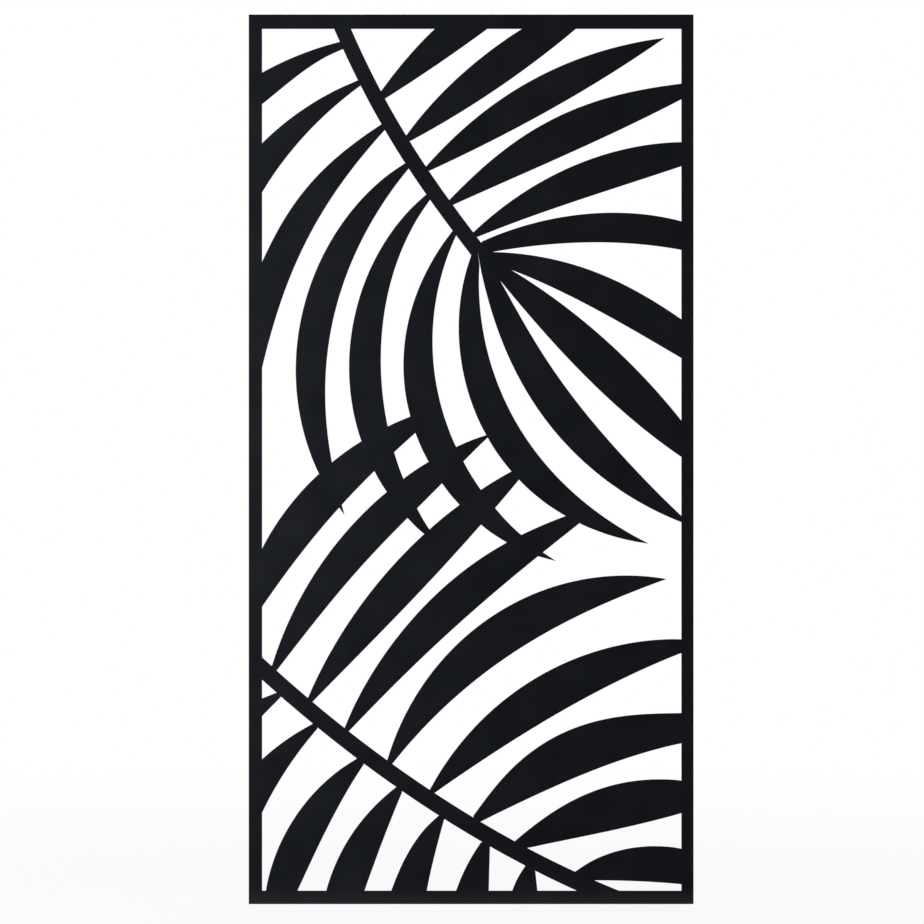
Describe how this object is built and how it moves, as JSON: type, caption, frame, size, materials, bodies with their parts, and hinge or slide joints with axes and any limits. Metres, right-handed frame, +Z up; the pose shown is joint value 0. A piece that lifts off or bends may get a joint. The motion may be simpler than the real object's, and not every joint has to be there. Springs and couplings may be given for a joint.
{
  "type": "laser cut metal screen",
  "caption": "Tall rectangular laser cut sheet metal screen with a crossing palm frond pattern, stiffened behind by a mitred frame of angle with fixing holes in its edges.",
  "frame": {"origin": "middle of the bottom edge, halfway through the depth between the sheet's front and the frame's rear rim", "axes": "+Z up the tall side, +X to the right seen from the front, the patterned front faces -Y"},
  "size_m": [0.9, 0.023, 1.8],
  "materials": {
    "sheet": "satin",
    "frame": "satin",
    "cleat": "satin",
    "nut": "satin"
  },
  "bodies": {
    "root": {"face_sheet": "sheet", "frame_left": "frame", "frame_top": "frame", "frame_right": "frame", "frame_bottom": "frame", "cleat_bottom_left": "cleat", "cleat_top_left": "cleat", "cleat_top_right": "cleat", "cleat_bottom_right": "cleat", "nut_left_01": "nut", "nut_left_02": "nut", "nut_left_03": "nut", "nut_left_04": "nut", "nut_left_05": "nut", "nut_left_06": "nut", "nut_left_07": "nut", "nut_left_08": "nut", "nut_left_09": "nut", "nut_top_01": "nut", "nut_top_02": "nut", "nut_top_03": "nut", "nut_top_04": "nut", "nut_top_05": "nut", "nut_top_06": "nut", "nut_right_01": "nut", "nut_right_02": "nut", "nut_right_03": "nut", "nut_right_04": "nut", "nut_right_05": "nut", "nut_right_06": "nut", "nut_right_07": "nut", "nut_right_08": "nut", "nut_right_09": "nut", "nut_bottom_01": "nut", "nut_bottom_02": "nut", "nut_bottom_03": "nut", "nut_bottom_04": "nut", "nut_bottom_05": "nut", "nut_bottom_06": "nut"}
  },
  "joints": []
}
